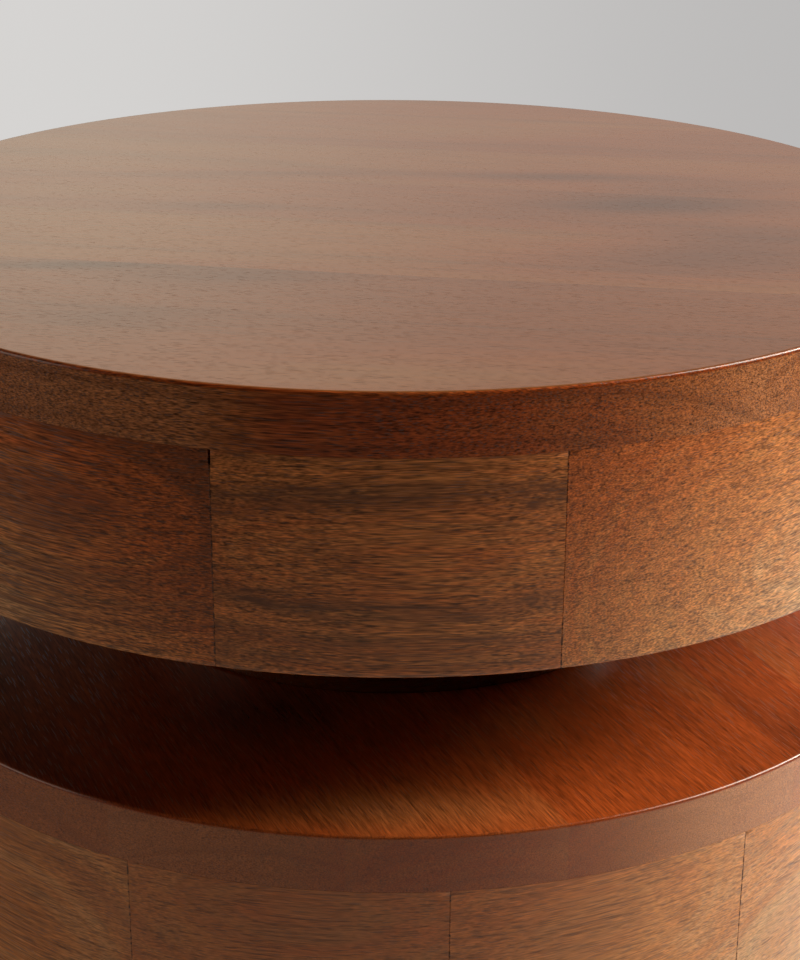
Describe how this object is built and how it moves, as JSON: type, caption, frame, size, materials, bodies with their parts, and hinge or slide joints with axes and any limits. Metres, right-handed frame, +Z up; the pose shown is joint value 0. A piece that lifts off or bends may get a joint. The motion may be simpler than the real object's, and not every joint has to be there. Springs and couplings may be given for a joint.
{
  "type": "side table",
  "caption": "Round side table made as a totem of stacked hollow wooden drums with recessed turned necks between them.",
  "frame": {"origin": "on the floor, on the axis of the table", "axes": "+Z up along the table's axis, -Y towards the front that the picture shows, +X to its right"},
  "size_m": [0.4, 0.4, 0.526],
  "materials": {
    "board_wood": "satin lacquer",
    "block_wood": "satin lacquer",
    "neck_wood": "satin lacquer",
    "panel_wood": "dark stain",
    "zinc_steel": "zinc plated",
    "glide_felt": "pressed felt"
  },
  "bodies": {
    "root": {"drum1_top_board": "board_wood", "drum1_bottom_board": "panel_wood", "drum1_block_01": "block_wood", "drum1_block_02": "block_wood", "drum1_block_03": "block_wood", "drum1_block_04": "block_wood", "drum1_block_05": "block_wood", "drum1_block_06": "block_wood", "drum1_block_07": "block_wood", "drum1_block_08": "block_wood", "drum1_block_09": "block_wood", "drum1_block_10": "block_wood", "drum1_block_11": "block_wood", "drum1_block_12": "block_wood", "drum2_top_board": "board_wood", "drum2_bottom_board": "panel_wood", "drum2_block_01": "block_wood", "drum2_block_02": "block_wood", "drum2_block_03": "block_wood", "drum2_block_04": "block_wood", "drum2_block_05": "block_wood", "drum2_block_06": "block_wood", "drum2_block_07": "block_wood", "drum2_block_08": "block_wood", "drum2_block_09": "block_wood", "drum2_block_10": "block_wood", "drum2_block_11": "block_wood", "drum2_block_12": "block_wood", "drum3_top_board": "board_wood", "drum3_bottom_board": "panel_wood", "drum3_block_01": "block_wood", "drum3_block_02": "block_wood", "drum3_block_03": "block_wood", "drum3_block_04": "block_wood", "drum3_block_05": "block_wood", "drum3_block_06": "block_wood", "drum3_block_07": "block_wood", "drum3_block_08": "block_wood", "drum3_block_09": "block_wood", "drum3_block_10": "block_wood", "drum3_block_11": "block_wood", "drum3_block_12": "block_wood", "base_top_board": "board_wood", "base_bottom_board": "panel_wood", "base_ring_arc_1": "block_wood", "base_ring_arc_2": "block_wood", "base_ring_arc_3": "block_wood", "base_ring_arc_4": "block_wood", "neck_1": "neck_wood", "neck_2": "neck_wood", "neck_3": "neck_wood", "tie_rod": "zinc_steel", "tie_rod_top_washer": "zinc_steel", "tie_rod_top_nut": "zinc_steel", "tie_rod_bottom_washer": "zinc_steel", "tie_rod_bottom_nut": "zinc_steel", "glide_1": "glide_felt", "glide_2": "glide_felt", "glide_3": "glide_felt", "glide_4": "glide_felt"}
  },
  "joints": []
}
